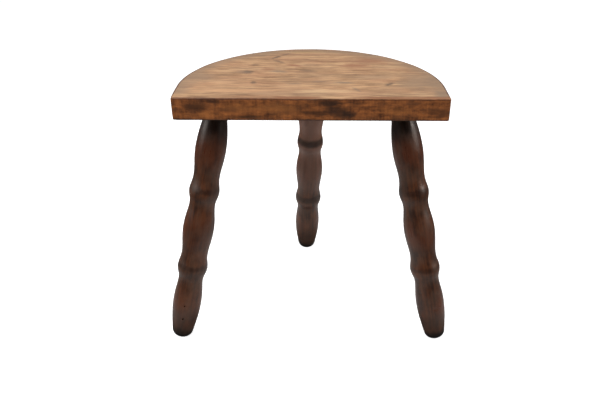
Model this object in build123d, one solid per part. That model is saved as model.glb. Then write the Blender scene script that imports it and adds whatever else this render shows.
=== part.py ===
from build123d import *
import os
from math import cos, radians, sin, tan

# A three-legged household stool: a half-moon board for a seat, and three legs turned
# with barrels and beads. Each leg ends in a round tenon, glued into a blind mortise in
# the underside of the seat and spread there by a fox wedge. Millimetres, +Z up.
#
# Bench frame, used while building: X runs along the straight front edge of the seat,
# from midway between the front legs, Y runs back from that edge, and the floor is at Z = 0.

# ---------------------------------------------------------------- driving dimensions
# Overall
seat_height = 335.0
seat_width = 306.4
seat_depth = 192.0
seat_thickness = 26.0

# Seat board
corner_rounding = 2.5
top_rounding = 1.5
bottom_rounding = 1.2

# Where the legs enter the underside, from the edges of the board to the leg's axis. The
# holes were marked out by hand, so neither the board nor the rear leg is quite centred
# between the front legs.
front_leg_from_side = 46.2
front_leg_from_front = 44.0
rear_leg_from_back = 36.5
rear_leg_off_centre = 4.0
seat_off_centre = 1.3

# How the legs stand: the lean from upright, and the way each foot points, seen from
# above. The front legs turn forward from the X axis, the rear leg from straight back.
splay = 13.5
front_leg_heading = 32.0
rear_leg_heading = 6.5

# Turned diameters, from the floor up, and the angles at which the outline leaves the
# rounded foot and runs into the tenon
foot_diameter = 27.0
foot_rounding = 9.0
foot_trim = 0.5
foot_flare = 8.5
lower_barrel_diameter = 36.1
groove_under_lower_bead = 31.3
lower_bead_diameter = 37.7
groove_over_lower_bead = 32.7
middle_barrel_diameter = 38.2
groove_under_upper_bead = 31.3
upper_bead_diameter = 36.4
groove_over_upper_bead = 31.4
upper_barrel_diameter = 36.4
neck_taper = 10.0
bead_to_groove = 17.5

# How far a curve swells past the straight line between a crest and a groove, half way
# between them, as a share of the step in radius
foot_fullness = 0.19
barrel_rise_fullness = 0.03
barrel_fall_fullness = 0.10
bead_fullness = -0.07
neck_fullness = 0.19

# Blind mortise and tenon
tenon_diameter = 24.0
glue_gap = 0.1
mortise_cap = 5.5
tenon_end_gap = 1.0
neck_clearance = 2.0

# Fox wedge, driven into the tenon by the floor of the mortise
wedge_head_thickness = 3.2
wedge_tip_thickness = 1.2
wedge_tip_in_seat = 4.0
kerf_relief = 1.5

# ---------------------------------------------------------------- what follows from them
underside = seat_height - seat_thickness
tenon_radius = tenon_diameter / 2
mortise_radius = tenon_radius + glue_gap

# Lengths along the leg's axis. leg_length runs from the floor to the underside.
leg_length = underside / cos(radians(splay))
mortise_tilt = mortise_radius * sin(radians(splay))
mortise_depth = (seat_thickness - mortise_cap - mortise_tilt) / cos(radians(splay))
mortise_floor = leg_length + mortise_depth
tenon_end = mortise_floor - tenon_end_gap
tenon_start = leg_length - mortise_radius * tan(radians(splay)) - neck_clearance
wedge_tip = leg_length + wedge_tip_in_seat


# ---------------------------------------------------------------- where the legs stand
def leg_plane(x, y, heading):
    """The frame of a leg that enters the underside at x, y, with its foot towards heading.

    Its origin is where the leg's axis meets the floor, and its Z runs up the axis. Its X
    lies along the grain of the seat, which is the way a wedge may spread a tenon without
    splitting the board.
    """
    lean = sin(radians(splay))
    away = Vector(cos(radians(heading)), sin(radians(heading)), 0)
    up = Vector(-away.X * lean, -away.Y * lean, cos(radians(splay)))
    along_grain = Vector(1, 0, 0) - up * up.X
    top = Vector(x, y, underside)
    return Plane(origin=top - up * leg_length, x_dir=along_grain, z_dir=up)


front_leg_x = seat_width / 2 - front_leg_from_side
legs = {
    "front_left": leg_plane(-front_leg_x, front_leg_from_front, 180 + front_leg_heading),
    "front_right": leg_plane(front_leg_x, front_leg_from_front, -front_leg_heading),
    "rear": leg_plane(rear_leg_off_centre, seat_depth - rear_leg_from_back, 90 + rear_leg_heading),
}


# ---------------------------------------------------------------- leg
def swell(start, end, fullness):
    """The point half way between two turned radii, moved out by fullness."""
    (r1, s1), (r2, s2) = start, end
    return ((r1 + r2) / 2 + fullness * abs(r1 - r2), (s1 + s2) / 2)


def leg_outline():
    """The turned outline as radius against height: foot, three barrels, two beads, neck."""
    flare = radians(foot_flare)
    foot_centre = (foot_diameter / 2 - foot_rounding, foot_trim + foot_rounding)
    foot_edge = (
        foot_centre[0] + foot_rounding * cos(flare),
        foot_centre[1] - foot_rounding * sin(flare),
    )
    bead = leg_length / 3

    lower_barrel = (lower_barrel_diameter / 2, bead / 2)
    under_lower = (groove_under_lower_bead / 2, bead - bead_to_groove)
    lower_bead = (lower_bead_diameter / 2, bead)
    over_lower = (groove_over_lower_bead / 2, bead + bead_to_groove)
    middle_barrel = (middle_barrel_diameter / 2, bead * 3 / 2)
    under_upper = (groove_under_upper_bead / 2, 2 * bead - bead_to_groove)
    upper_bead = (upper_bead_diameter / 2, 2 * bead)
    over_upper = (groove_over_upper_bead / 2, 2 * bead + bead_to_groove)
    upper_barrel = (upper_barrel_diameter / 2, bead * 5 / 2)
    neck = (tenon_radius, tenon_start)
    taper = radians(neck_taper)

    steps = [
        (foot_edge, foot_fullness),
        (lower_barrel, barrel_fall_fullness),
        (under_lower, bead_fullness),
        (lower_bead, bead_fullness),
        (over_lower, barrel_rise_fullness),
        (middle_barrel, barrel_fall_fullness),
        (under_upper, bead_fullness),
        (upper_bead, bead_fullness),
        (over_upper, barrel_rise_fullness),
        (upper_barrel, neck_fullness),
        (neck, 0),
    ]
    points = []
    for (start, fullness), (end, _) in zip(steps, steps[1:]):
        points += [start, swell(start, end, fullness)]
    points.append(neck)

    turned = Spline(*points, tangents=[(sin(flare), cos(flare)), (-sin(taper), cos(taper))])
    foot = CenterArc(foot_centre, foot_rounding, -90, 90 - foot_flare)
    tip = Polyline((0, tenon_start), (0, foot_trim), (foot_centre[0], foot_trim))
    tenon = Polyline(neck, (tenon_radius, tenon_end), (0, tenon_end), (0, tenon_start))
    return Plane.XZ * make_face(tip + foot + turned + tenon)


def wedge_slice(tip):
    """The V between the wedge's two faces, from tip up to the floor of the mortise."""
    slope = (wedge_head_thickness - wedge_tip_thickness) / (mortise_floor - wedge_tip)
    tip_half = (wedge_tip_thickness - slope * (wedge_tip - tip)) / 2
    head_half = wedge_head_thickness / 2
    outline = Polyline(
        (-tip_half, tip),
        (tip_half, tip),
        (head_half, mortise_floor),
        (-head_half, mortise_floor),
        close=True,
    )
    return extrude(Plane.XZ * make_face(outline), tenon_diameter, both=True)


def make_wedge():
    """A hardwood wedge as wide as the tenon, with its edges rounded to the tenon."""
    length = mortise_floor - wedge_tip
    tenon = Pos(0, 0, wedge_tip + length / 2) * Cylinder(tenon_radius, length)
    return wedge_slice(wedge_tip) & tenon


def make_leg(plane):
    """One leg, sawn across its tenon for the wedge, and trimmed flat at the floor."""
    turned = revolve(leg_outline(), Axis.Z)
    leg = plane * (turned - wedge_slice(wedge_tip - kerf_relief))
    below_floor = Pos(plane.origin.X, plane.origin.Y, -foot_diameter / 2) * Box(*(3 * [foot_diameter]))
    return leg - below_floor


# ---------------------------------------------------------------- seat
def make_mortise(plane):
    """A blind hole along the leg's axis, drilled from below the board."""
    below_board = mortise_radius
    hole_length = mortise_depth + below_board
    return plane * Pos(0, 0, mortise_floor - hole_length / 2) * Cylinder(mortise_radius, hole_length)


def make_seat():
    """The half-moon board: a straight front edge, short sides, and a half circle behind."""
    half = seat_width / 2
    side = seat_depth - half
    front = Polyline((-half, side), (-half, 0), (half, 0), (half, side))
    back = ThreePointArc((half, side), (0, seat_depth), (-half, side))
    board = Pos(seat_off_centre, 0, underside) * extrude(make_face(front + back), seat_thickness)
    corners = board.edges().filter_by(Axis.Z).group_by(Axis.Y)[0]
    board = fillet(corners, corner_rounding)
    board = fillet(board.faces().sort_by(Axis.Z)[-1].edges(), top_rounding)
    board = fillet(board.faces().sort_by(Axis.Z)[0].edges(), bottom_rounding)
    for plane in legs.values():
        board -= make_mortise(plane)
    return board


# ---------------------------------------------------------------- assembly
pieces = {"seat": make_seat()}
for place, plane in legs.items():
    pieces["leg_" + place] = make_leg(plane)
    pieces["wedge_" + place] = plane * make_wedge()

# The stool's own origin is on the floor, below the centre of the box around the stool.
front = pieces["leg_front_left"].bounding_box().min.Y
back = pieces["leg_rear"].bounding_box().max.Y
to_origin = Pos(0, -(front + back) / 2, 0)

os.makedirs("parts", exist_ok=True)
for name, piece in pieces.items():
    export_step(to_origin * piece, f"parts/{name}.step")
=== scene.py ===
# %% [markdown]
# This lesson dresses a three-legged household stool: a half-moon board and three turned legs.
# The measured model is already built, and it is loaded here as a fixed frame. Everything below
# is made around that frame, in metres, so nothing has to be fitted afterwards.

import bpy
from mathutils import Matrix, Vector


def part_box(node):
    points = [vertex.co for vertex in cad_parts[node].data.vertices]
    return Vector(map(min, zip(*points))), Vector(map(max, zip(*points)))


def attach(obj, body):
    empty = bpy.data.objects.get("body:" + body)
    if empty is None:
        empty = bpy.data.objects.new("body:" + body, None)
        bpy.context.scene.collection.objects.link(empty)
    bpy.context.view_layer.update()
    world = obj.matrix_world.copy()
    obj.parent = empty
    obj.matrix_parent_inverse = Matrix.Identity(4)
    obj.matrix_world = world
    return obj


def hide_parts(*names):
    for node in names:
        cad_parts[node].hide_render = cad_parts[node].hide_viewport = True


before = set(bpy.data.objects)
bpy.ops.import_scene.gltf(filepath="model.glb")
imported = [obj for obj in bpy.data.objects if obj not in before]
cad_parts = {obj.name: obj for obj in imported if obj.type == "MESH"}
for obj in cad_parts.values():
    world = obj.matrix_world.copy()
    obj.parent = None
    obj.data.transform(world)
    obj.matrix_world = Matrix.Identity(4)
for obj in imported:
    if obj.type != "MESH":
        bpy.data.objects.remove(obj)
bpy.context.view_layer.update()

# %% [markdown]
# The stool has few driving dimensions. The board's place is read from the frame, and so is the
# outline of the legs. What a box can't tell is written down: how far each leg stands in from
# the edges of the board, how much it leans, and which way its foot points. So is the depth of
# the board, because the box of a faceted arc can come out a little short.

# %% The stool's own dimensions
import math

import bpy
import numpy as np
from mathutils import Matrix, Quaternion, Vector, noise

MM = 0.001
seat_low, seat_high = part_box("seat")
seat_width = seat_high.x - seat_low.x
seat_half = seat_width / 2
seat_depth = 192 * MM
seat_middle_x = (seat_low.x + seat_high.x) / 2
arc_middle_y = seat_low.y + seat_depth - seat_half
underside = seat_low.z
seat_top = seat_high.z

splay = math.radians(13.5)
front_heading = math.radians(32)
rear_heading = math.radians(6.5)
front_leg_x = seat_half - 46.2 * MM
front_leg_y = seat_low.y + 44 * MM
rear_leg_x = 4 * MM
rear_leg_y = seat_low.y + seat_depth - 36.5 * MM
print(f"seat {seat_width:.4f} x {seat_depth:.4f} m, its top at {seat_top:.4f} m")

# %% [markdown]
# Each leg gets axes of its own: the origin on the floor, Z up the leg and X along the grain of
# the seat. With them a leg can be made upright and then leaned over as one piece, which is much
# simpler than leaning every ring of it by itself.


# %% Where each leg stands
def leg_frame(x, y, heading):
    """The leg's own axes: origin on the floor, Z up the leg, X along the grain of the seat."""
    away = Vector((math.cos(heading), math.sin(heading), 0))
    up = Vector((0, 0, math.cos(splay))) - away * math.sin(splay)
    along = (Vector((1, 0, 0)) - up * up.x).normalized()
    length = underside / math.cos(splay)
    axes = Matrix((along, up.cross(along), up)).transposed().to_4x4()
    return Matrix.Translation(Vector((x, y, underside)) - up * length) @ axes


leg_frames = {
    "front_left": leg_frame(-front_leg_x, front_leg_y, math.pi + front_heading),
    "front_right": leg_frame(front_leg_x, front_leg_y, -front_heading),
    "rear": leg_frame(rear_leg_x, rear_leg_y, math.pi / 2 + rear_heading),
}
for place, axes in leg_frames.items():
    print(place, "stands at", [round(v, 4) for v in axes.translation])

# %% [markdown]
# The camera stands a little above the seat, in front of its straight edge, and looks down at
# about thirty degrees. It is aimed at the middle of the stool and moved back along its line of
# sight, which is easier to think about than three angles and a place.

# %% Camera
aim = Vector((-4.0 * MM, -34.3 * MM, 157.8 * MM))
camera_azimuth = math.radians(0.42)
camera_pitch = math.radians(29.39)
camera_distance = 855.6 * MM
camera_roll = math.radians(0.095)

forward = Vector((
    -math.sin(camera_azimuth) * math.cos(camera_pitch),
    math.cos(camera_azimuth) * math.cos(camera_pitch),
    -math.sin(camera_pitch),
))
camera = bpy.data.objects.new("camera", bpy.data.cameras.new("camera"))
camera.data.lens = 37.86
camera.data.sensor_width = 36
camera.location = aim - forward * camera_distance
camera.rotation_mode = "QUATERNION"
camera.rotation_quaternion = forward.to_track_quat("-Z", "Y") @ Quaternion((0, 0, 1), camera_roll)
bpy.context.scene.collection.objects.link(camera)
bpy.context.scene.camera = camera
print("camera at", [round(v, 4) for v in camera.location])

# %% [markdown]
# The studio is all white to the eye, but not to the stool. What lights the stool, and shows in
# its varnish, is bright behind it and nearly dark in front. A Light Path node tells the eye's own
# rays from the rest, so the background can be pure white without a veil over the dark legs.

# %% World
scene = bpy.context.scene
scene.view_settings.view_transform = "Standard"
backdrop_glow = 0.45
front_glow = 0.01

scene.world = bpy.data.worlds.new("studio")
scene.world.use_nodes = True
sky = scene.world.node_tree
direction = sky.nodes.new("ShaderNodeTexCoord")
depth = sky.nodes.new("ShaderNodeSeparateXYZ")
sky.links.new(direction.outputs["Generated"], depth.inputs[0])
fill = sky.nodes.new("ShaderNodeMapRange")
fill.interpolation_type = "SMOOTHSTEP"
fill.inputs["From Min"].default_value = -0.45
fill.inputs["From Max"].default_value = 0.35
fill.inputs["To Min"].default_value = front_glow
fill.inputs["To Max"].default_value = backdrop_glow
sky.links.new(depth.outputs["Y"], fill.inputs["Value"])
seen = sky.nodes.new("ShaderNodeLightPath")
level = sky.nodes.new("ShaderNodeMix")
level.inputs["B"].default_value = 1.0
sky.links.new(seen.outputs["Is Camera Ray"], level.inputs["Factor"])
sky.links.new(fill.outputs[0], level.inputs["A"])
sky.links.new(level.outputs[0], sky.nodes["Background"].inputs["Strength"])
sky.nodes["Background"].inputs["Color"].default_value = (1, 1, 1, 1)
print("backdrop", backdrop_glow, "front", front_glow)

# %% [markdown]
# Four softboxes do the rest. Two stand left and right of the stool, a little to the front, and
# draw the soft grey lines down the outer sides of the legs. A large one hangs over the seat. The
# last is high up in front, and it lights the front edge of the seat and the faces of the legs.


# %% Lights
def softbox(name, place, size, watts):
    """A rectangular light at place, turned towards the stool."""
    light = bpy.data.lights.new(name, "AREA")
    light.shape = "RECTANGLE"
    light.size, light.size_y = size
    light.energy = watts
    made = bpy.data.objects.new(name, light)
    made.location = place
    made.rotation_euler = (aim - Vector(place)).to_track_quat("-Z", "Y").to_euler()
    scene.collection.objects.link(made)
    return made


softbox("softbox_left", (-1.30, -0.35, 0.84), (1.0, 0.9), 10)
softbox("softbox_right", (1.35, -0.45, 0.82), (0.6, 0.8), 13)
softbox("softbox_overhead", (-0.75, 0.1, 1.5), (1.1, 1.2), 8.2)
softbox("softbox_front", (-0.35, -1.30, 1.75), (0.9, 0.7), 20)

# %% [markdown]
# Every piece of this stool can be made from rings: a leg is a stack of circles, and the board is
# a stack of half moons that shrink towards the middle of each face. One helper joins rings into
# a closed skin. The noise helper gives the small unevenness of handwork, always the same way.

# %% Helpers for meshes
def skin(name, rings, first_pole, last_pole):
    """A closed mesh over rings of equally many points, with a point at each end."""
    count = len(rings[0])
    points = [first_pole] + [point for ring in rings for point in ring] + [last_pole]
    faces = []
    for j in range(count):
        k = (j + 1) % count
        faces.append((0, 1 + k, 1 + j))
        for i in range(len(rings) - 1):
            low = 1 + i * count
            high = low + count
            faces.append((low + j, low + k, high + k, high + j))
        last = 1 + (len(rings) - 1) * count
        faces.append((last + j, last + k, len(points) - 1))
    mesh = bpy.data.meshes.new(name)
    mesh.from_pydata([tuple(point) for point in points], [], faces)
    mesh.validate()
    made = bpy.data.objects.new(name, mesh)
    scene.collection.objects.link(made)
    return made


def ripple(point, size, seed):
    """Smooth noise between -1 and 1, with humps about size apart. Each seed is a new pattern."""
    scaled = Vector([p / s for p, s in zip(point, size)])
    return noise.noise(scaled + Vector((seed * 7.31, seed * 3.17, seed * 5.73)))


def ease(value, start, end):
    """0 before start, 1 after end, and a smooth step between."""
    t = min(max((value - start) / (end - start), 0), 1)
    return t * t * (3 - 2 * t)


def finish_edges(piece, degrees=38):
    """Smooth shading, with a crease wherever the surface turns sharply."""
    piece.data.polygons.foreach_set("use_smooth", [True] * len(piece.data.polygons))
    piece.data.set_sharp_from_angle(angle=math.radians(degrees))


def carve(piece, cutters):
    """Cuts closed shapes out of a piece, then throws the cutters away."""
    for cutter in cutters:
        cut = piece.modifiers.new("cut", "BOOLEAN")
        cut.operation = "DIFFERENCE"
        cut.solver = "EXACT"
        cut.object = cutter
    bpy.context.view_layer.update()
    evaluated = piece.evaluated_get(bpy.context.evaluated_depsgraph_get())
    carved = bpy.data.meshes.new_from_object(evaluated)
    piece.modifiers.clear()
    piece.data = carved
    for cutter in cutters:
        bpy.data.objects.remove(cutter)


def rod(name, radius, start, end, place, sides=96):
    """A round cutter along the Z axis of place."""
    ring = [(radius * math.cos(t), radius * math.sin(t)) for t in np.arange(sides) * math.tau / sides]
    rings = [[place @ Vector((x, y, z)) for x, y in ring] for z in (start, end)]
    return skin(name, rings, place @ Vector((0, 0, start)), place @ Vector((0, 0, end)))


print("mesh helpers are ready")

# %% [markdown]
# The floor is one flat square, a hair below the feet, so that the two never share a surface. It
# belongs to the studio and not to the stool.

# %% Floor
floor_half = 4.0
floor_drop = 0.3 * MM
floor_ring = [(x * floor_half, y * floor_half) for x, y in ((-1, -1), (1, -1), (1, 1), (-1, 1))]
floor_mesh = bpy.data.meshes.new("floor")
floor_mesh.from_pydata([(x, y, -floor_drop) for x, y in floor_ring], [], [(0, 1, 2, 3)])
floor = bpy.data.objects.new("floor", floor_mesh)
scene.collection.objects.link(floor)
print("floor", 2 * floor_half, "m wide")

# %% [markdown]
# A turned leg is a profile spun about an axis. The profile is read back from the bare model: in
# the leg's own axes, every point of its mesh has a height and a distance from the axis. Sorted
# by height they are the outline that was turned, and a smooth curve through them is sampled at
# equal steps. The tenon above the outline is a plain round, so it is added as such.

# %% Outline of a leg
ring_step = 1.25 * MM


def own_points(node, place):
    """The points of a CAD node in the axes of the leg that it belongs to."""
    to_leg = leg_frames[place].inverted()
    return np.array([to_leg @ v.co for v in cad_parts[node].data.vertices])


leg_points = own_points("leg_rear", "rear")
heights = leg_points[:, 2]
radii = np.hypot(leg_points[:, 0], leg_points[:, 1])
tenon_end = heights.max()
tenon_radius = radii[heights > tenon_end - 1 * MM].max()
tenon_start = heights[(heights > underside * 0.9) & (abs(radii - tenon_radius) < 0.01 * MM)].min()

outline = [(0.0, heights.min())]
for height, radius in sorted(zip(heights, radii)):
    if height < tenon_start and math.dist((radius, height), outline[-1]) > 0.35 * MM:
        outline.append((radius, height))
outline.append((tenon_radius, tenon_start))
outline = np.array(outline)
travel = np.concatenate([[0], np.cumsum(np.hypot(*np.diff(outline, axis=0).T))])
slopes = np.gradient(outline, travel, axis=0)


def outline_at(distance):
    """Radius and height of the outline, distance along it from the middle of the foot."""
    i = min(max(np.searchsorted(travel, distance) - 1, 0), len(travel) - 2)
    step = travel[i + 1] - travel[i]
    t = (distance - travel[i]) / step
    start, end = outline[i], outline[i + 1]
    leave, arrive = slopes[i] * step, slopes[i + 1] * step
    return (
        start * (2 * t**3 - 3 * t**2 + 1) + leave * (t**3 - 2 * t**2 + t)
        + end * (3 * t**2 - 2 * t**3) + arrive * (t**3 - t**2)
    )


print(f"outline {travel[-1]:.4f} m long, tenon from {tenon_start:.4f} to {tenon_end:.4f} m")

# %% [markdown]
# A leg off a hand lathe is never a perfect solid of revolution. It is slightly oval, because
# wood shrinks more across its rings than towards its middle, the tool leaves faint waves, and
# years of boots leave dents, most of them low down. These are moved points in the mesh, so they
# show along the outline as well. The foot is ground flat where it stands on the floor.

# %% Turn one leg
leg_sides = 96
bead_gap = underside / math.cos(splay) / 3
bead_skirt = 0.45 * MM
skirt_drop = 7 * MM
skirt_width = 5 * MM
dents_per_leg = 11
lowest_dent = 14 * MM
tenon_rings = 14


def make_dents(rng, count):
    """Small knocks, most of them low down, each with its height, angle, depth and width."""
    dents = []
    for _ in range(count):
        height = bead_gap * 2.7 * rng.random() ** 1.6 + lowest_dent
        turn = math.tau * rng.random()
        depth = rng.uniform(0.2, 0.55) * MM
        width = rng.uniform(1.6, 3.4) * MM
        dents.append((height, turn, depth, width))
    return dents


def worn_radius(radius, height, angle, dents, seed, stout):
    """The turned radius with shrinkage, tool waves and knocks. The tenon stays true."""
    worn = 1 - ease(height, tenon_start - 8 * MM, tenon_start - 2 * MM)
    below_bead = bead_gap - height % bead_gap
    skirt = bead_skirt * math.exp(-(((below_bead - skirt_drop) / skirt_width) ** 2))
    skirt *= height > bead_gap / 2
    oval = stout + skirt + 0.14 * MM * math.cos(2 * angle + seed)
    point = (radius * math.cos(angle), radius * math.sin(angle), height)
    uneven = 0.16 * MM * ripple(point, (22 * MM, 22 * MM, 38 * MM), seed)
    tool = 0.05 * MM * ripple((0, 0, height), (1, 1, 3.1 * MM), seed + 3)
    knocks = 0
    for low, turn, depth, width in dents:
        around = radius * ((angle - turn + math.pi) % math.tau - math.pi)
        knocks += depth * math.exp(-((height - low) ** 2 + around**2) / (2 * width**2 / 4))
    return radius + worn * (oval + uneven + tool - knocks)


def turn_leg(place, seed, stout):
    """The skin of one leg, in its own axes, with the foot ground flat on the floor."""
    axes = leg_frames[place]
    lift = axes.to_3x3() @ Vector((0, 0, 1))
    dents = make_dents(np.random.default_rng(seed), dents_per_leg)
    steps = np.linspace(0, travel[-1], round(travel[-1] / ring_step))[1:]
    sections = [tuple(outline_at(distance)) for distance in steps]
    tenon_heights = np.linspace(tenon_start, tenon_end, tenon_rings)[1:]
    sections += [(tenon_radius, height) for height in tenon_heights]
    sections.append((tenon_radius * 0.5, tenon_end))
    rings = []
    for radius, height in sections:
        ring = []
        for angle in np.arange(leg_sides) * math.tau / leg_sides:
            worn = worn_radius(radius, height, angle, dents, seed, stout)
            point = Vector((worn * math.cos(angle), worn * math.sin(angle), height))
            below = min((axes @ point).z, 0)
            ring.append(point - Vector((0, 0, below / lift.z)))
        rings.append(ring)
    foot = Vector((0, 0, heights.min()))
    return skin("turned_leg_" + place, rings, foot, Vector((0, 0, tenon_end)))


print(f"a bead every {bead_gap:.4f} m of leg")

# %% [markdown]
# The top of each leg is a tenon with a saw cut across it, and a hidden wedge that spread it when
# the leg was driven home. The wedge is in the bare model, so the cut is the wedge's own V, made
# a little deeper, as a saw leaves it. The cut runs across the grain of the seat, so that the
# wedge can't split the board.

# %% Saw the tenons
kerf_relief = 1.5 * MM
wedge_points = own_points("wedge_rear", "rear")
wedge_tip, wedge_head = wedge_points[:, 2].min(), wedge_points[:, 2].max()
tip_half = abs(wedge_points[wedge_points[:, 2] < wedge_tip + 0.1 * MM, 0]).max()
head_half = abs(wedge_points[wedge_points[:, 2] > wedge_head - 0.1 * MM, 0]).max()


def kerf():
    """The V of the wedge, carried down past its tip and out through the tenon's end."""
    slope = (head_half - tip_half) / (wedge_head - wedge_tip)
    reach = 2 * tenon_radius
    rings = []
    for height in (wedge_tip - kerf_relief, wedge_head):
        half = tip_half + slope * (height - wedge_tip)
        corners = ((-half, -reach), (half, -reach), (half, reach), (-half, reach))
        rings.append([(x, y, height) for x, y in corners])
    return skin("kerf", rings, (0, 0, wedge_tip - kerf_relief), (0, 0, wedge_head))


print(f"saw cut {2 * tip_half:.4f} to {2 * head_half:.4f} m wide")

# %% [markdown]
# The front left leg has two old beetle holes low on its front face, one above the other. They
# are drilled for real: a dark dot painted on the surface would vanish as soon as light grazed it.
# The drill starts outside the leg, whose surface lies about 18 mm from its axis down there.

# %% Make the three legs
beetle_holes = {"front_left": [(54.5 * MM, -92), (34.3 * MM, -91)]}
beetle_radius = 1.3 * MM
beetle_depth = 5 * MM
beetle_surface = 18 * MM
leg_seeds = {"front_left": 4, "front_right": 9, "rear": 15}
leg_stout = {"front_left": 0.35 * MM, "front_right": 0.12 * MM, "rear": 0.28 * MM}
leg_pieces = {}
for place, seed in leg_seeds.items():
    piece = turn_leg(place, seed, leg_stout[place])
    cutters = [kerf()]
    for height, degrees in beetle_holes.get(place, []):
        outward = Vector((math.cos(math.radians(degrees)), math.sin(math.radians(degrees)), 0))
        drill = Matrix.Translation((0, 0, height)) @ outward.to_track_quat("Z", "Y").to_matrix().to_4x4()
        inner, outer = beetle_surface - beetle_depth, beetle_surface + beetle_depth
        cutters.append(rod("beetle", beetle_radius, inner, outer, drill, 24))
    carve(piece, cutters)
    finish_edges(piece)
    piece.matrix_world = leg_frames[place]
    leg_pieces[place] = piece
    print(piece.name, len(piece.data.polygons), "faces")

# %% [markdown]
# The board is a half moon: a straight front edge, two short straight sides and a half circle
# behind. Its outline is walked once, and each point keeps the direction that faces outward.
# A point is placed by going in from the outline, or up and down, so the rounded edges and their
# wear are easy to shape.

# %% Outline of the board
edge_step = 1.7 * MM
corner_radius = 2.5 * MM


def straight(start, end, outward):
    """Points from start up to, but not including, end."""
    count = max(1, round(math.dist(start, end) / edge_step))
    return [(*Vector(start).lerp(Vector(end), i / count), *outward) for i in range(count)]


def bend(middle, radius, first, last, count):
    """Points along an arc, angles in degrees, up to but not including the last."""
    made = []
    for i in range(count):
        t = math.radians(first + (last - first) * i / count)
        out_x, out_y = math.cos(t), math.sin(t)
        made.append((middle[0] + radius * out_x, middle[1] + radius * out_y, out_x, out_y))
    return made


left, right = seat_middle_x - seat_half, seat_middle_x + seat_half
front = seat_low.y
arc_count = round(math.pi * seat_half / edge_step)
board_outline = (
    straight((left + corner_radius, front), (right - corner_radius, front), (0, -1))
    + bend((right - corner_radius, front + corner_radius), corner_radius, -90, 0, 8)
    + straight((right, front + corner_radius), (right, arc_middle_y), (1, 0))
    + bend((seat_middle_x, arc_middle_y), seat_half, 0, 180, arc_count)
    + straight((left, arc_middle_y), (left, front + corner_radius), (-1, 0))
    + bend((left + corner_radius, front + corner_radius), corner_radius, 180, 270, 8)
)
print("points round the board:", len(board_outline))

# %% [markdown]
# Wear gives an old seat away. The top is very slightly dished, the front edge is rubbed round
# where legs hang over it and has lost splinters left of its middle, and the left front corner
# has been knocked blunt, a little more at its foot. Each is a small function of place, so each
# can be tried by itself.

# %% How the board is worn
dish_depth = 0.7 * MM
dish_half_length = 85 * MM
dish_half_width = 50 * MM
planed_off = 0.1 * MM
seat_centre = Vector((seat_middle_x, -30 * MM))
seat_dents = [
    # x, y, depth, width
    (92, -66, 0.50, 3.2),
    (-73, -24, 0.25, 3.0),
    (18, -71, 0.30, 2.6),
    (-22, 12, 0.30, 3.0),
    (57, 31, 0.25, 2.4),
]


def top_height(x, y):
    """The worn upper face."""
    along = (x - seat_centre.x) / dish_half_length
    across = (y - seat_centre.y) / dish_half_width
    dish = dish_depth * math.exp(-(along**2) - across**2)
    waves = 0.112 * MM * ripple((x, y, 0), (140 * MM, 26 * MM, 1), 21)
    dents = 0
    for dent_x, dent_y, depth, width in seat_dents:
        apart = math.dist((x, y), (dent_x * MM, dent_y * MM)) / (width * MM)
        dents += depth * MM * math.exp(-2 * apart**2)
    return seat_top - planed_off - dish + waves - dents


def edge_rounding(x, y):
    """How far the top arris is rubbed round at this place."""
    rubbed = 1.15 * MM + 0.35 * MM * ripple((x, y, 0), (19 * MM, 19 * MM, 1), 31)
    if y < front + 1 * MM:
        splinters = ease(x, -42 * MM, -34 * MM) * (1 - ease(x, 1 * MM, 9 * MM))
        rubbed += splinters * (0.45 * MM + 0.5 * MM * ripple((x, 0, 0), (5 * MM, 1, 1), 33))
    corner = 1 - ease(math.dist((x, y), (left, front)), 3 * MM, 16 * MM)
    return min(rubbed + 0.7 * MM * corner, 2.2 * MM)


def side_wear(x, y, z):
    """How far the side has gone in: saw waves all round, and the blunt left corner."""
    waves = 0.13 * MM * ripple((x, y, z), (17 * MM, 17 * MM, 9 * MM), 41)
    corner = 1 - ease(math.dist((x, y), (left, front)), 1.5 * MM, 9 * MM)
    foot = 1 - ease(z, underside + 1 * MM, underside + 7 * MM)
    return waves + 0.1 * MM + corner * (0.45 * MM + 0.3 * MM * foot)


print("dents in the seat:", len(seat_dents))

# %% [markdown]
# The rings of the board start at the middle of the underside, run out to its edge, up the side
# and back in to the middle of the top. Close to the edge they keep their distance from the
# outline. Further in they shrink towards the middle instead, because a constant distance would
# fold the skin over itself at the corners.

# %% Build the board
side_rings = 13
rounding_rings = 6
top_rings = 64
under_rings = 38
edge_band = 2.4 * MM
bottom_rounding = 1.2 * MM


def in_from_edge(point, inset, z):
    """The point of a section, inset from the outline at the height z."""
    x, y, out_x, out_y = point
    inset = inset + side_wear(x, y, z) * (1 - ease(inset, 0, edge_band))
    return Vector((x - out_x * inset, y - out_y * inset, z))


def face_ring(share, height_at):
    """A ring of a flat face, shrunk towards the middle to this share of its full size."""
    ring = []
    for point in board_outline:
        edge = in_from_edge(point, edge_band, 0)
        spot = seat_centre.lerp(edge.xy, share)
        ring.append(Vector((*spot, height_at(*spot))))
    return ring


def under_height(x, y):
    """The underside, left from the saw."""
    return underside + 0.07 * MM * (1 + ripple((x, y, 0), (60 * MM, 14 * MM, 1), 51))


def rounding_ring(size_at, share, top):
    """A ring of a rounded edge. share runs from 0, at the side, to 1, at the face."""
    ring = []
    turn = share * math.pi / 2
    for point in board_outline:
        size = size_at(point[0], point[1])
        inset = size * (1 - math.cos(turn))
        rise = size * (1 - math.sin(turn))
        face = top_height(point[0], point[1]) if top else under_height(point[0], point[1])
        ring.append(in_from_edge(point, inset, face - rise if top else face + rise))
    return ring


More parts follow.
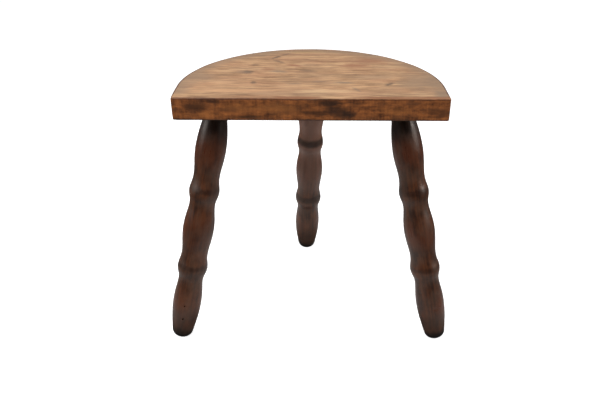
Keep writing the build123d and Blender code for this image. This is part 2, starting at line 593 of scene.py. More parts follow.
rings = [face_ring(i / under_rings, under_height) for i in range(1, under_rings + 1)]
rings += [rounding_ring(lambda x, y: bottom_rounding, 1 - i / 4, False) for i in range(4)]
side_bottom = rounding_ring(lambda x, y: bottom_rounding, 0, False)
side_top = rounding_ring(edge_rounding, 0, True)
for i in range(1, side_rings):
    ring = []
    for point, low, high in zip(board_outline, side_bottom, side_top):
        ring.append(in_from_edge(point, 0, low.z + (high.z - low.z) * i / side_rings))
    rings.append(ring)
rings += [rounding_ring(edge_rounding, i / rounding_rings, True) for i in range(rounding_rings + 1)]
rings += [face_ring(i / top_rings, top_height) for i in range(top_rings, 0, -1)]

board = skin(
    "half_moon_board", rings,
    Vector((*seat_centre, under_height(*seat_centre))),
    Vector((*seat_centre, top_height(*seat_centre))),
)
print(board.name, len(board.data.polygons), "faces before drilling")

# %% [markdown]
# Each leg sits in a blind hole drilled from below along the leg's own axis. The floor of the
# hole is where the wedge's head rests, and the hole is a hair wider than the tenon, for glue.
# A boolean cut is right here, because the hole has a crisp edge and meets the board at a slant.

# %% Drill the mortises
glue_gap = 0.1 * MM
mortises = []
for place, axes in leg_frames.items():
    mortises.append(rod("mortise", tenon_radius + glue_gap, tenon_start - 15 * MM, wedge_head, axes))
carve(board, mortises)
finish_edges(board)
print(board.name, len(board.data.polygons), "faces")

# %% [markdown]
# Materials come next. All of them are wood, so what they share is built once, as node groups
# with named inputs. A few short helpers make the node code readable: `use` adds a node, `calc`
# and `move` do sums on numbers and vectors, `blend` adds up weighted values, `step` turns a
# number into a soft mask, `tones` turns one into a colour, and `mix` and `wash` lay one colour
# over another.


# %% Helpers for nodes
def link(tree, value, socket):
    """Joins a socket to another one, or sets it to a plain value."""
    if isinstance(value, bpy.types.NodeSocket):
        tree.links.new(value, socket)
    else:
        socket.default_value = value


def use(tree, kind, sockets, **settings):
    """Adds a shader node, with its settings and what goes into its sockets."""
    made = tree.nodes.new("ShaderNode" + kind)
    for name, value in settings.items():
        setattr(made, name, value)
    for socket, value in sockets.items():
        link(tree, value, made.inputs[socket])
    return made


def calc(tree, operation, *values):
    """One sum on numbers."""
    return use(tree, "Math", dict(enumerate(values)), operation=operation).outputs[0]


def move(tree, operation, *values):
    """One sum on vectors. LENGTH gives a number."""
    made = use(tree, "VectorMath", dict(enumerate(values)), operation=operation)
    return made.outputs["Value" if operation == "LENGTH" else "Vector"]


def step(tree, value, low, high):
    """A mask: 0 below low, 1 above high, soft between. Swap them for the opposite."""
    sockets = {"Value": value, "From Min": low, "From Max": high}
    return use(tree, "MapRange", sockets, interpolation_type="SMOOTHSTEP").outputs[0]


def mix(tree, amount, under, over, blend_type="MIX"):
    """Lays one colour over another, as far as amount says."""
    made = use(tree, "Mix", {0: amount, 6: under, 7: over}, data_type="RGBA", blend_type=blend_type)
    return made.outputs[2]


def grey(tree, value, scale, detail=3.0, rough=0.55):
    """Noise around 0.5 at a place that is scaled first."""
    scaled = move(tree, "MULTIPLY", value, scale)
    sockets = {"Vector": scaled, "Scale": 1.0, "Detail": detail, "Roughness": rough}
    return use(tree, "TexNoise", sockets).outputs[0]


def blend(tree, *parts, base=0.0):
    """A base value plus other values, each times its own share."""
    total = base
    for value, share in parts:
        total = calc(tree, "ADD", total, calc(tree, "MULTIPLY", value, share))
    return total


def wash(tree, under, mask, strength, tint):
    """A thin coat of a tint over a colour, where the mask is and as strong as is said."""
    return mix(tree, calc(tree, "MULTIPLY", mask, strength), under, tint)


def tones(tree, value, *stops):
    """Turns a value into a colour, by stops of (value, colour) in rising order."""
    made = use(tree, "ValToRGB", {0: value})
    elements = made.color_ramp.elements
    for element, (position, tone) in zip(elements, (stops[0], stops[-1])):
        element.position = position
        element.color = tone
    for position, tone in stops[1:-1]:
        elements.new(position).color = tone
    return made.outputs[0]


def colour(red, green, blue):
    """A colour with full cover, from its linear parts."""
    return (red, green, blue, 1.0)


def new_group(name, inputs, outputs):
    """An empty node group with its sockets. Inputs are (name, kind, value)."""
    tree = bpy.data.node_groups.new(name, "ShaderNodeTree")
    for label, kind, value in inputs:
        made = tree.interface.new_socket(label, in_out="INPUT", socket_type="NodeSocket" + kind)
        if value is not None:
            made.default_value = value
    for label, kind in outputs:
        tree.interface.new_socket(label, in_out="OUTPUT", socket_type="NodeSocket" + kind)
    return tree, tree.nodes.new("NodeGroupInput"), tree.nodes.new("NodeGroupOutput")


def place_group(tree, group, **values):
    """Puts a group into a material, with its own values. Spaces in names are written as _."""
    made = tree.nodes.new("ShaderNodeGroup")
    made.node_tree = group
    for name, value in values.items():
        link(tree, value, made.inputs[name.replace("_", " ")])
    return made


def new_material(name):
    """A material, its node tree, its shader and a socket with the place of each point."""
    material = bpy.data.materials.new(name)
    material.use_nodes = True
    tree = material.node_tree
    place = use(tree, "TexCoord", {}).outputs["Object"]
    return material, tree, tree.nodes["Principled BSDF"], place


def emboss(tree, shader, height, strength):
    """Lets a height in metres bend the light on the surface."""
    bump = use(tree, "Bump", {"Height": height, "Strength": strength, "Distance": 1.0})
    link(tree, bump.outputs[0], shader.inputs["Normal"])


print("node helpers are ready")

# %% [markdown]
# Wood grain is the same thing on every face of a board: a trunk's growth rings, cut by that
# face. So the rings are worked out in space, as distance from a line along X that stands for
# the middle of the trunk. Slow noise bends them, a tone is drawn for each ring, and its last
# part darkens into latewood. Long thin noise gives the fibres, and longer, thinner noise the
# open pores.


# %% Node group: wood grain
def build_grain():
    """Rings, fibres and pores in wood whose grain runs along X."""
    tree, given, result = new_group(
        "wood grain",
        [("Vector", "Vector", None), ("Ring width", "Float", 0.003), ("Wander", "Float", 0.006),
         ("Seed", "Float", 1.0)],
        [("Tone", "Float"), ("Latewood", "Float"), ("Fibre", "Float"), ("Pores", "Float"),
         ("Relief", "Float")],
    )
    seed = given.outputs["Seed"]
    place = given.outputs["Vector"]
    shifted = move(tree, "ADD", place, move(tree, "MULTIPLY", seed, (1.0, 1.7, 2.3)))
    slow = grey(tree, shifted, (7, 30, 30), 2.0)
    quick = grey(tree, shifted, (24, 150, 150), 2.0)
    parts = use(tree, "SeparateXYZ", {0: place}).outputs
    reach = move(tree, "LENGTH", use(tree, "CombineXYZ", {1: parts[1], 2: parts[2]}).outputs[0])
    bent = calc(tree, "MULTIPLY", calc(tree, "SUBTRACT", slow, 0.5), given.outputs["Wander"])
    bent = blend(tree, (calc(tree, "SUBTRACT", quick, 0.5), 1.6 * MM), base=bent)
    count = calc(tree, "DIVIDE", calc(tree, "ADD", reach, bent), given.outputs["Ring width"])
    ring = {"W": calc(tree, "ADD", count, seed), "Scale": 0.9, "Detail": 3.0}
    tone = use(tree, "TexNoise", ring, noise_dimensions="1D").outputs[0]
    within = calc(tree, "FRACT", count)
    late = calc(tree, "MULTIPLY", step(tree, within, 0.45, 0.93), step(tree, within, 1.0, 0.95))
    fibre = grey(tree, shifted, (28, 850, 850), 3.0, 0.6)
    pore_noise = grey(tree, shifted, (130, 2400, 2400), 1.0)
    pores = step(tree, pore_noise, 0.64, 0.74)
    relief = blend(tree, (fibre, 0.5), (late, 0.25), (pores, -0.6))
    made = {"Tone": tone, "Latewood": late, "Fibre": fibre, "Pores": pores, "Relief": relief}
    for name, value in made.items():
        link(tree, value, result.inputs[name])
    return tree


grain_group = build_grain()
print("group:", grain_group.name)

# %% [markdown]
# Stains, knots, bruises and bare patches are all spots: an oval at some place, turned as it
# lies, with a ragged and more or less soft border. One group makes them all, so a mark is only
# a row of numbers later on.


# %% Node group: spot
def build_spot():
    """An oval mask with a ragged border."""
    tree, given, result = new_group(
        "spot",
        [("Vector", "Vector", None), ("Middle", "Vector", (0, 0, 0)), ("Size", "Vector", (1, 1, 1)),
         ("Ragged", "Float", 0.5), ("Softness", "Float", 0.6), ("Turn", "Float", 0.0)],
        [("Mask", "Float")],
    )
    place = given.outputs["Vector"]
    away = move(tree, "SUBTRACT", place, given.outputs["Middle"])
    turn_back = calc(tree, "MULTIPLY", given.outputs["Turn"], -1.0)
    turned = use(tree, "VectorRotate", {"Vector": away, "Angle": turn_back}, rotation_type="Z_AXIS")
    near = move(tree, "DIVIDE", turned.outputs[0], given.outputs["Size"])
    rough_edge = calc(tree, "SUBTRACT", grey(tree, near, (1.3, 1.3, 1.3), 3.0, 0.6), 0.5)
    fine_edge = calc(tree, "SUBTRACT", grey(tree, place, (90, 420, 420), 2.0), 0.5)
    uneven = blend(tree, (fine_edge, 0.7), base=rough_edge)
    apart = blend(tree, (uneven, given.outputs["Ragged"]), base=move(tree, "LENGTH", near))
    inner = calc(tree, "SUBTRACT", 1.0, given.outputs["Softness"])
    link(tree, step(tree, apart, 1.0, inner), result.inputs["Mask"])
    return tree


spot_group = build_spot()
print("group:", spot_group.name)

# %% [markdown]
# Handling leaves two more effects on every piece. Patches are broad clouds of darker or lighter
# finish. Scratches are fine lines that run in a few directions, broken off here and there. Both
# are noise with a threshold: the scratches stretch it until each blot is a line.


# %% Node groups: patches and scratches
def build_patches():
    """Cloudy patches. Cover is the share of the surface that they take."""
    tree, given, result = new_group(
        "patches",
        [("Vector", "Vector", None), ("Scale", "Vector", (20, 20, 20)), ("Cover", "Float", 0.5),
         ("Softness", "Float", 0.12), ("Seed", "Float", 1.0)],
        [("Mask", "Float")],
    )
    scaled = move(tree, "MULTIPLY", given.outputs["Vector"], given.outputs["Scale"])
    seed = given.outputs["Seed"]
    shifted = move(tree, "ADD", scaled, move(tree, "MULTIPLY", seed, (5.1, 1.0, 3.3)))
    cloud = grey(tree, shifted, (1, 1, 1), 4.0, 0.6)
    middle = blend(tree, (given.outputs["Cover"], -0.5), base=0.75)
    low = calc(tree, "SUBTRACT", middle, given.outputs["Softness"])
    high = calc(tree, "ADD", middle, given.outputs["Softness"])
    link(tree, step(tree, cloud, low, high), result.inputs["Mask"])
    return tree


def build_scratches():
    """Fine broken lines in three directions about the axis called Z."""
    tree, given, result = new_group(
        "scratches",
        [("Vector", "Vector", None), ("Amount", "Float", 0.5), ("Seed", "Float", 1.0)],
        [("Mask", "Float")],
    )
    place = given.outputs["Vector"]
    total = None
    for turn, along, across in ((0.35, 16, 700), (-0.6, 22, 820), (1.25, 30, 900)):
        turned = use(tree, "VectorRotate", {"Vector": place, "Angle": turn}, rotation_type="Z_AXIS")
        shifted = move(tree, "ADD", turned.outputs[0], (turn, turn * 2, 0))
        lines = step(tree, grey(tree, shifted, (along, across, across * 0.4), 1.0), 0.70, 0.78)
        total = lines if total is None else calc(tree, "MAXIMUM", total, lines)
    where = grey(tree, move(tree, "ADD", place, given.outputs["Seed"]), (30, 30, 30), 2.0)
    shown = step(tree, where, 0.45, 0.62)
    amount = calc(tree, "MULTIPLY", calc(tree, "MULTIPLY", total, shown), given.outputs["Amount"])
    link(tree, amount, result.inputs["Mask"])
    return tree


patches_group = build_patches()
scratches_group = build_scratches()


def patches(tree, place, scale, cover, softness, seed):
    """A mask of soft patches from the group."""
    return place_group(
        tree, patches_group, Vector=place, Scale=scale, Cover=cover, Softness=softness, Seed=seed,
    ).outputs[0]


print("groups:", patches_group.name, "and", scratches_group.name)

# %% [markdown]
# The wear of the board depends on how far a point lies in from its outline. The outline is
# simple enough to work that out in the shader: the distance to the front edge, to the two sides
# and to the half circle, whichever is least.


# %% Node group: how far in from the edge of the board
def build_inset():
    """How far in from the board's outline a point lies, in metres."""
    tree, given, result = new_group(
        "inset from the edge", [("Vector", "Vector", None)], [("Inset", "Float")],
    )
    parts = use(tree, "SeparateXYZ", {0: given.outputs["Vector"]}).outputs
    from_front = calc(tree, "SUBTRACT", parts[1], front)
    aside = calc(tree, "SUBTRACT", parts[0], seat_middle_x)
    behind = calc(tree, "MAXIMUM", calc(tree, "SUBTRACT", parts[1], arc_middle_y), 0.0)
    flat = use(tree, "CombineXYZ", {0: aside, 1: behind}).outputs[0]
    from_arc = calc(tree, "SUBTRACT", seat_half, move(tree, "LENGTH", flat))
    link(tree, calc(tree, "MINIMUM", from_front, from_arc), result.inputs["Inset"])
    return tree


inset_group = build_inset()
print("group:", inset_group.name)


# %% [markdown]
# The seat carries two finishes. Its top has been rubbed and washed down to bare, honey-coloured
# wood, streaked along the grain. Its edges keep the old orange-brown polish. The top has gathered
# marks: dark knots, grey and reddish stains, paler wood where it was rubbed most. They are listed
# one by one, places and sizes in millimetres, so each one can be moved or left out.

# %% Marks on the top of the seat
DARK_KNOT = colour(0.150, 0.090, 0.055)
GREY_STAIN = colour(0.250, 0.165, 0.105)
RED_STAIN = colour(0.300, 0.130, 0.065)
PINK_STAIN = colour(0.250, 0.098, 0.041)
PALE_WOOD = colour(0.640, 0.420, 0.235)
OLIVE_WOOD = colour(0.430, 0.265, 0.110)
ORANGE_WOOD = colour(0.600, 0.330, 0.170)

top_marks = [
    # x, y, half length, half width, turn in degrees, colour, strength
    (-129, -46, 24.0, 24.0, 0, GREY_STAIN, 0.50),
    (130, -60, 40.0, 44.0, 0, GREY_STAIN, 0.62),
    (75, -42, 36.0, 11.0, 0, GREY_STAIN, 0.35),
    (-88, -92, 66.0, 11.0, 0, ORANGE_WOOD, 0.62),
    (20, -92, 48.0, 9.0, 0, PALE_WOOD, 0.55),
    (-5, 60, 46.0, 6.0, 0, OLIVE_WOOD, 0.60),
    (-75, -24, 9.5, 10.0, 0, DARK_KNOT, 0.95),
    (-80, -23, 14.0, 7.0, 0, GREY_STAIN, 0.50),
    (-65, -62, 5.4, 6.4, 0, DARK_KNOT, 0.90),
    (-68, 5, 7.2, 4.8, 0, DARK_KNOT, 0.60),
    (-43, 37, 14.0, 4.0, 49, DARK_KNOT, 0.90),
    (-31, 50, 11.0, 3.8, 44, DARK_KNOT, 0.70),
    (-39, 19, 15.0, 4.2, -44, DARK_KNOT, 0.70),
    (-20, 4, 16.0, 6.0, -22, RED_STAIN, 0.95),
    (-51, -11, 13.0, 9.0, 0, RED_STAIN, 0.60),
    (-37, -20, 16.0, 5.8, -8, GREY_STAIN, 0.95),
    (-2, -17, 16.0, 6.5, -14, DARK_KNOT, 0.65),
    (-18, -66, 13.0, 3.6, 0, GREY_STAIN, 0.60),
    (11, -57, 13.0, 3.6, 0, GREY_STAIN, 0.60),
    (40, -61, 16.0, 5.0, -8, GREY_STAIN, 0.90),
    (53, -86, 12.0, 3.4, -62, GREY_STAIN, 0.70),
    (55, 3, 22.0, 13.0, 0, RED_STAIN, 0.75),
    (92, -67, 11.5, 6.0, 47, DARK_KNOT, 0.90),
    (146, -104, 12.0, 22.0, 0, GREY_STAIN, 0.80),
    (76, 22, 34.0, 18.0, 0, RED_STAIN, 0.65),
]
print("marks on the top:", len(top_marks))

# %% [markdown]
# The front edge has marks of its own: a near-black stain right of the middle, where something
# once ran down, brown ones along the rest, and a few places that still shine with old polish.
# They are listed by their place along the edge and their height above the floor.

# %% Marks on the edge of the seat
BLACK_STAIN = colour(0.022, 0.013, 0.010)
BROWN_STAIN = colour(0.060, 0.024, 0.011)
BRIGHT_POLISH = colour(0.380, 0.140, 0.040)

front_marks = [
    # x, z, half length, half height, colour, strength
    (21, 329, 18, 8, BLACK_STAIN, 0.85),
    (30, 320, 22, 10, BLACK_STAIN, 0.75),
    (44, 316, 13, 7, BLACK_STAIN, 0.85),
    (4, 318, 24, 5, BROWN_STAIN, 0.80),
    (-104, 331, 11, 5, BLACK_STAIN, 0.55),
    (-126, 325, 20, 6, BROWN_STAIN, 0.75),
    (-66, 313, 24, 4, BROWN_STAIN, 0.80),
    (139, 319, 16, 9, BROWN_STAIN, 0.45),
    (-112, 316, 13, 6, BRIGHT_POLISH, 0.45),
    (-34, 323, 36, 9, BRIGHT_POLISH, 0.55),
    (-78, 324, 26, 8, BRIGHT_POLISH, 0.40),
    (95, 320, 26, 8, BRIGHT_POLISH, 0.35),
]
print("marks on the front edge:", len(front_marks))

# %% [markdown]
# Bare wood is noise stretched along the grain: fine streaks, wider smears, growth rings and
# fibres. Their sum picks a tone between dark and light. Reddish and dull patches lie over that,
# then the marks, a greyer rim where the old polish hangs on round the back, and a red-brown
# strip just behind the front arris.


# %% Colour of the rubbed top
def rubbed_top(tree, place, inset):
    """Honey-coloured bare wood, streaked along X, with its marks."""
    grain = place_group(
        tree, grain_group, Vector=move(tree, "SUBTRACT", place, (0, -0.035, 0.215)),
        Ring_width=4.2 * MM, Wander=20 * MM, Seed=3.0,
    )
    slow_place = move(tree, "MULTIPLY", place, (14, 34, 20))
    slow = use(tree, "TexNoise", {"Vector": slow_place, "Scale": 1.0, "Detail": 2.0}).outputs["Color"]
    drift = move(tree, "SUBTRACT", slow, (0.5, 0.5, 0.5))
    bent = move(tree, "MULTIPLY_ADD", drift, (6 * MM, 6 * MM, 6 * MM), place)
    streaks = grey(tree, bent, (34, 270, 120), 4.0, 0.72)
    smears = grey(tree, bent, (20, 80, 50), 4.0, 0.66)
    rings, fibre = grain.outputs["Tone"], grain.outputs["Fibre"]
    made = tones(
        tree, blend(tree, (rings, 0.20), (streaks, 0.48), (smears, 0.22), (fibre, 0.10)),
        (0.415, colour(0.225, 0.116, 0.053)),
        (0.500, colour(0.425, 0.240, 0.122)),
        (0.585, colour(0.610, 0.370, 0.195)),
    )
    made = wash(tree, made, grain.outputs["Latewood"], 0.16, colour(0.34, 0.18, 0.10))
    red = patches(tree, bent, (20, 70, 30), 0.45, 0.10, 2.0)
    made = wash(tree, made, red, 0.30, colour(0.43, 0.205, 0.110))
    dull = patches(tree, bent, (16, 44, 20), 0.45, 0.10, 7.0)
    made = wash(tree, made, dull, 0.22, colour(0.30, 0.200, 0.120))
    for x, y, half_length, half_width, turn, tint, strength in top_marks:
        spot = place_group(
            tree, spot_group, Vector=place, Middle=(x * MM, y * MM, seat_top),
            Size=(half_length * MM, half_width * MM, 12 * MM),
            Ragged=0.9, Softness=0.8, Turn=math.radians(turn),
        )
        made = wash(tree, made, spot.outputs[0], strength, tint)

    parts = use(tree, "SeparateXYZ", {0: place}).outputs
    off_front = step(tree, parts[1], front + 6 * MM, front + 20 * MM)
    rim = step(tree, blend(tree, (smears, 16 * MM), base=inset), 34 * MM, 10 * MM)
    made = wash(tree, made, calc(tree, "MULTIPLY", rim, off_front), 0.65, GREY_STAIN)
    to_right = step(tree, parts[0], 45 * MM, 75 * MM)
    from_left = step(tree, parts[0], -45 * MM, -30 * MM)
    at_middle = calc(tree, "MULTIPLY", from_left, step(tree, parts[0], 22 * MM, 4 * MM))
    strip = calc(tree, "MULTIPLY", calc(tree, "ADD", to_right, at_middle), 0.80)
    behind_arris = blend(tree, (streaks, 6 * MM), base=parts[1])
    behind_arris = step(tree, behind_arris, front + 11.5 * MM, front + 8.5 * MM)
    made = mix(tree, calc(tree, "MULTIPLY", strip, behind_arris), made, PINK_STAIN)
    pored = wash(tree, made, grain.outputs["Pores"], 0.25, colour(0.22, 0.12, 0.07))
    return pored, grain


print("the top is a mix of streaks, smears, rings and", len(top_marks), "marks")

# %% [markdown]
# The edge is built in the same way from coarser noise. Two things are its own. The short upright
# lines are the marks of the saw, and round the sides the wood shows its end grain, which drank
# more stain than the front did.


# %% Colour of the polished edge
def polished_edge(tree, place):
    """Old orange-brown polish, with blotches, stains and the marks of the saw."""
    parts = use(tree, "SeparateXYZ", {0: place}).outputs
    saw = grey(tree, place, (420, 420, 26), 2.0, 0.7)
    along = grey(tree, place, (16, 60, 170), 4.0, 0.6)
    curl = grey(tree, place, (95, 95, 150), 5.0, 0.7)
    made = tones(
        tree, blend(tree, (along, 0.36), (saw, 0.18), (curl, 0.46)),
        (0.40, colour(0.090, 0.029, 0.011)),
        (0.50, colour(0.255, 0.086, 0.026)),
        (0.61, colour(0.430, 0.142, 0.040)),
    )
    blotch = patches(tree, place, (34, 60, 80), 0.42, 0.07, 5.0)
    made = wash(tree, made, blotch, 0.50, colour(0.075, 0.030, 0.015))
    for x, z, half_length, half_height, tint, strength in front_marks:
        spot = place_group(
            tree, spot_group, Vector=place, Middle=(x * MM, front, z * MM),
            Size=(half_length * MM, 14 * MM, half_height * MM), Ragged=1.0, Softness=0.85,
        )
        made = wash(tree, made, spot.outputs[0], strength, tint)
    off_middle = calc(tree, "ABSOLUTE", calc(tree, "SUBTRACT", parts[0], seat_middle_x))
    round_side = step(tree, off_middle, 100 * MM, 152 * MM)
    end_grain = calc(tree, "MULTIPLY", round_side, step(tree, parts[1], front + 4 * MM, front + 12 * MM))
    made = wash(tree, made, end_grain, 0.45, colour(0.055, 0.024, 0.013))
    return made, saw


print("the edge is a mix of polish, saw marks and", len(front_marks), "marks")

# %% [markdown]
# One material covers the whole board, because the border between its finishes is part of the
# look. Masks choose between them: how far a point lies in from the edge and below the top, and
# how near it is to the underside. The border is rubbed over the front arris, and lies further in
# at the left and round the back. A thin dark line stays under the arris.


# %% Put the seat's finish together
def seat_finish():
    """Rubbed top, polished edge and sawn underside in one material."""
    material, tree, shader, place = new_material("old_seat_wood")
    parts = use(tree, "SeparateXYZ", {0: place}).outputs
    inset = place_group(tree, inset_group, Vector=place).outputs[0]
    top_colour, grain = rubbed_top(tree, place, inset)
    edge_colour, saw = polished_edge(tree, place)

    ragged = calc(tree, "SUBTRACT", grey(tree, place, (240, 240, 240), 3.0), 0.5)
    at_back = step(tree, parts[1], front + 3 * MM, front + 12 * MM)
    in_front = calc(tree, "SUBTRACT", 1.0, at_back)
    kept_left = calc(tree, "MULTIPLY", in_front, step(tree, parts[0], -15 * MM, -70 * MM))
    cover = blend(tree, (at_back, 2.1 * MM), (kept_left, 1.9 * MM), base=-0.4 * MM)
    over_edge = calc(tree, "SUBTRACT", inset, calc(tree, "SUBTRACT", seat_top, parts[2]))
    bare = blend(tree, (ragged, 1.6 * MM), base=over_edge)
    bare = step(tree, calc(tree, "SUBTRACT", bare, cover), 0.0, 0.6 * MM)
    upper = step(tree, parts[2], underside + 5 * MM, underside + 10 * MM)
    bare = calc(tree, "MULTIPLY", bare, upper)

    line = step(tree, parts[2], seat_top - 2.6 * MM, seat_top - 1.6 * MM)
    edge_colour = wash(tree, edge_colour, line, 0.60, colour(0.060, 0.022, 0.010))
    made = mix(tree, bare, edge_colour, top_colour)

    below = step(tree, parts[2], underside + 1.6 * MM, underside + 0.6 * MM)
    sawn_tone = step(tree, blend(tree, (grain.outputs["Tone"], 0.6), (saw, 0.4)), 0.38, 0.62)
    rough_sawn = mix(tree, sawn_tone, colour(0.115, 0.062, 0.032), colour(0.300, 0.180, 0.100))
    runs = patches(tree, place, (30, 30, 30), 0.5, 0.10, 9.0)
    stained_rim = step(tree, blend(tree, (runs, -9 * MM), base=inset), 12 * MM, 4 * MM)
    rough_sawn = wash(tree, rough_sawn, stained_rim, 0.8, colour(0.060, 0.024, 0.012))
    made = mix(tree, below, made, rough_sawn)
    scratches = place_group(tree, scratches_group, Vector=place, Amount=0.5, Seed=2.0).outputs[0]
    made = wash(tree, made, scratches, 0.35, colour(0.30, 0.19, 0.12))
    link(tree, made, shader.inputs["Base Color"])

    rough = blend(tree, (bare, 0.14), (grain.outputs["Fibre"], 0.12), (below, 0.25), base=0.36)
    link(tree, rough, shader.inputs["Roughness"])
    shader.inputs["Specular IOR Level"].default_value = 0.35

    cuts = calc(tree, "MULTIPLY", saw, calc(tree, "SUBTRACT", 1.0, bare))
    relief = grain.outputs["Relief"]
    height = blend(tree, (relief, 0.12 * MM), (cuts, 0.18 * MM), (scratches, -0.08 * MM))
    emboss(tree, shader, height, 0.8)
    return material


seat_material = seat_finish()
print("finish:", seat_material.name, len(seat_material.node_tree.nodes), "nodes")

# %% [markdown]
# The legs were stained a dark red-brown and varnished. The colour is redder on the fat of each
# barrel, where hands and boots rub, and a band just above each bead is painted darker. The necks
# of the front legs are painted nearly black, a painted shade of the seat; the top of the rear leg is
# painted lighter, a painted light from behind. The feet are greyed by dust, and their tips are
# painted black, partly dirt and partly painted contact shadow. Grain runs up the leg, so the
# place is turned before it goes into the grain group, and the trunk's middle lies outside the
# leg, as it does in a leg split from a log.


# %% Colour of a leg
def leg_colour(tree, place, seed, painted_top_light, band_height, band_width, band_strength):
    """Dark red-brown stain over grain that runs up the leg."""
    parts = use(tree, "SeparateXYZ", {0: place}).outputs
    up = parts[2]
    beside = use(tree, "CombineXYZ", {
        0: up, 1: calc(tree, "ADD", parts[0], 34 * MM), 2: calc(tree, "ADD", parts[1], 22 * MM),
    }).outputs[0]
    grain = place_group(
        tree, grain_group, Vector=beside, Ring_width=3.1 * MM, Wander=10 * MM, Seed=seed,
    )
    own = move(tree, "ADD", place, (seed, seed, seed))
    streaks = grey(tree, own, (260, 260, 22), 4.0, 0.65)
    clouds = grey(tree, own, (75, 75, 42), 4.0, 0.6)
    made = tones(
        tree, blend(tree, (grain.outputs["Tone"], 0.22), (streaks, 0.30), (clouds, 0.48)),
        (0.41, colour(0.028, 0.0105, 0.0058)),
        (0.60, colour(0.100, 0.0330, 0.0135)),
    )
    made = wash(tree, made, grain.outputs["Latewood"], 0.12, colour(0.026, 0.010, 0.006))

    turns = calc(tree, "FRACT", calc(tree, "DIVIDE", up, bead_gap))
    fat = calc(tree, "MULTIPLY", step(tree, turns, 0.22, 0.48), step(tree, turns, 0.80, 0.55))
    rubbed = patches(tree, place, (45, 45, 22), 0.55, 0.14, seed)
    red = calc(tree, "MULTIPLY", fat, rubbed)
    made = wash(tree, made, red, 0.60, colour(0.105, 0.028, 0.012))
    # Painted light: the top of the leg is painted lighter, standing in for light from behind the stool.
    painted_back_light = step(tree, up, 100 * MM, 290 * MM)
    made = wash(tree, made, painted_back_light, painted_top_light, colour(0.265, 0.125, 0.083))
    # Painted shade: the neck is painted nearly black, standing in for the shadow of the seat over it.
    painted_seat_shade = step(tree, up, 255 * MM, 300 * MM)
    made = wash(tree, made, painted_seat_shade, 0.70 - 0.70 * painted_top_light, colour(0.017, 0.0095, 0.0080))

    # A band just above each bead is painted darker.
    above_bead = calc(tree, "MULTIPLY", calc(tree, "FRACT", calc(tree, "ADD", turns, 0.5)), bead_gap)
    apart = calc(tree, "ABSOLUTE", calc(tree, "SUBTRACT", above_bead, bead_gap / 2 + band_height))
    uneven = blend(tree, (calc(tree, "SUBTRACT", clouds, 0.5), 5 * MM), base=apart)
    band = step(tree, calc(tree, "DIVIDE", uneven, band_width), 1.3, 0.35)
    band = calc(tree, "MULTIPLY", band, step(tree, up, 50 * MM, 70 * MM))
    made = wash(tree, made, band, band_strength, colour(0.020, 0.0070, 0.0042))

    dusty = patches(tree, place, (70, 70, 40), 0.42, 0.12, seed + 3)
    made = wash(tree, made, dusty, 0.25, colour(0.090, 0.055, 0.036))
    greyed = step(tree, up, 60 * MM, 22 * MM)
    made = wash(tree, made, greyed, 0.40, colour(0.062, 0.043, 0.034))
    # The tip is painted near black: partly dirt on the end grain, partly painted contact shadow.
    tip = step(tree, blend(tree, (clouds, 12 * MM), base=up), 27 * MM, 13 * MM)
    made = wash(tree, made, tip, 0.95, colour(0.0085, 0.0072, 0.0066))
    return made, grain, red, dusty, beside


print("the legs' dark bands repeat every", round(bead_gap, 4), "m")

# %% [markdown]
# The rest of the finish is varnish: half glossy, duller where it is dusty and where the grain is
# open, a little smoother where hands have rubbed it. Each leg gets a material of its own from the
# same function, so no two legs carry the same grain. On the rear leg the top is painted lighter, a
# painted light from behind the stool, and its neck gets no painted shade.


# %% Finish of a leg
def leg_finish(place_name, seed, painted_top_light, *band):
    """Stained and varnished leg wood. Each leg has its own grain and its own knocks."""
    material, tree, shader, place = new_material("stained_leg_" + place_name)
    made, grain, red, dusty, beside = leg_colour(tree, place, seed, painted_top_light, *band)
    scratches = place_group(tree, scratches_group, Vector=beside, Amount=0.6, Seed=seed).outputs[0]
    made = wash(tree, made, scratches, 0.40, colour(0.12, 0.07, 0.05))
    link(tree, made, shader.inputs["Base Color"])
    rough = blend(tree, (dusty, 0.12), (grain.outputs["Fibre"], 0.10), (red, -0.05), base=0.28)
    link(tree, rough, shader.inputs["Roughness"])
    shader.inputs["Specular IOR Level"].default_value = 0.5
    shader.inputs["Specular Tint"].default_value = colour(1.0, 0.88, 0.80)
    height = blend(tree, (grain.outputs["Relief"], 0.10 * MM), (scratches, -0.08 * MM))
    emboss(tree, shader, height, 0.7)
    return material


leg_looks = {
    # seed, how much painted light lightens the top (it also takes away the painted seat shade on
    # the neck), then the dark band over each bead: its height, its half width and its strength
    "front_left": (11.0, 0.0, 3.5 * MM, 4 * MM, 0.65),
    "front_right": (17.0, 0.0, 2.5 * MM, 4 * MM, 0.60),
    "rear": (23.0, 0.90, 6.0 * MM, 6 * MM, 0.90),
}
leg_materials = {}
for place, look in leg_looks.items():
    leg_materials[place] = leg_finish(place, *look)
print("finishes:", [m.name for m in leg_materials.values()])

# %% [markdown]
# The wedges never saw the stain: they were driven in before the legs were finished. They keep
# their measured shape and get the pale look of dry, split hardwood. Their grain runs the way
# they are driven, which is nearly upright.


# %% Finish of the wedges
def wedge_finish():
    """Pale, dry hardwood with upright grain."""
    material, tree, shader, place = new_material("split_hardwood")
    parts = use(tree, "SeparateXYZ", {0: place}).outputs
    upright = use(tree, "CombineXYZ", {0: parts[2], 1: parts[0], 2: parts[1]}).outputs[0]
    grain = place_group(
        tree, grain_group, Vector=upright, Ring_width=1.4 * MM, Wander=3 * MM, Seed=8.0,
    )
    made = mix(tree, grain.outputs["Tone"], colour(0.38, 0.25, 0.14), colour(0.62, 0.46, 0.29))
    made = wash(tree, made, grain.outputs["Latewood"], 0.4, colour(0.30, 0.18, 0.10))
    link(tree, made, shader.inputs["Base Color"])
    link(tree, blend(tree, (grain.outputs["Fibre"], 0.25), base=0.6), shader.inputs["Roughness"])
    emboss(tree, shader, calc(tree, "MULTIPLY", grain.outputs["Relief"], 0.1 * MM), 0.8)
    return material


wedge_material = wedge_finish()
print("finish:", wedge_material.name)
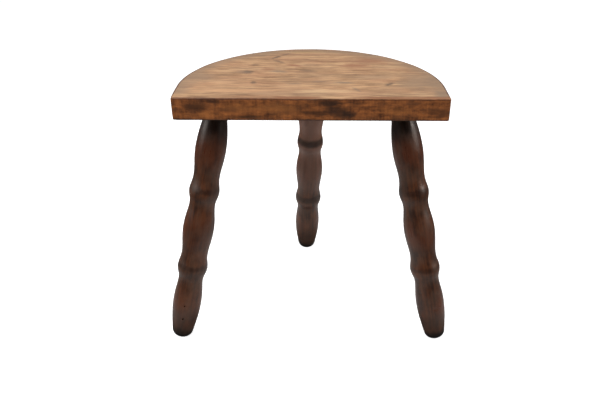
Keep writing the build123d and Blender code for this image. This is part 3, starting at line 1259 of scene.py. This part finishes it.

# %% [markdown]
# The floor is painted brighter round the stool and glows a little there, a painted pool of light,
# and it is painted darker right at the feet, a painted contact shadow. The varnish of the legs
# reflects that. To the eye it is one even white. Seen from below it is clear, so the underside
# of the stool can be looked at as well.


# %% Finish of the floor
def floor_finish():
    """A painted pool of light near the stool, dim further out, with painted contact shadows at the feet.
    It looks evenly white to the eye.
    """
    material, tree, shader, place = new_material("pale_table")
    # Painted pool of light round the stool, and painted contact shadow round each foot, seen only by
    # rays other than the eye's.
    lit = step(tree, move(tree, "LENGTH", place), 0.50, 0.22)
    for axes in leg_frames.values():
        to_foot = move(tree, "LENGTH", move(tree, "SUBTRACT", place, tuple(axes.translation)))
        lit = calc(tree, "MULTIPLY", lit, step(tree, to_foot, 0.030, 0.085))
    painted_pool_colour = mix(tree, lit, colour(0.05, 0.05, 0.05), colour(0.44, 0.44, 0.44))
    glow = mix(tree, lit, colour(0.02, 0.02, 0.02), colour(0.14, 0.14, 0.14))
    seen = use(tree, "LightPath", {}).outputs["Is Camera Ray"]
    link(tree, mix(tree, seen, painted_pool_colour, colour(0.9, 0.9, 0.9)), shader.inputs["Base Color"])
    link(tree, mix(tree, seen, glow, colour(0.7, 0.7, 0.7)), shader.inputs["Emission Color"])
    shader.inputs["Emission Strength"].default_value = 1.0
    from_below = use(tree, "NewGeometry", {}).outputs["Backfacing"]
    link(tree, calc(tree, "SUBTRACT", 1.0, from_below), shader.inputs["Alpha"])
    shader.inputs["Roughness"].default_value = 0.9
    shader.inputs["Specular IOR Level"].default_value = 0.1
    return material


floor.data.materials.append(floor_finish())
print("finish:", floor.data.materials[0].name)

# %% [markdown]
# Last, each new piece is tied to the frame. It rides on the stool's one body, and the bare node
# that it stands for is hidden. The bare wedges are shown as they are, so only their material changes.

# %% Tie the pieces to the frame
board.data.materials.clear()
board.data.materials.append(seat_material)
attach(board, "root")
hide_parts("seat")
for place, piece in leg_pieces.items():
    piece.data.materials.clear()
    piece.data.materials.append(leg_materials[place])
    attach(piece, "root")
    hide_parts("leg_" + place)
    for material_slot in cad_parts["wedge_" + place].material_slots:
        material_slot.material = wedge_material
print("tied to the frame:", board.name, [piece.name for piece in leg_pieces.values()])
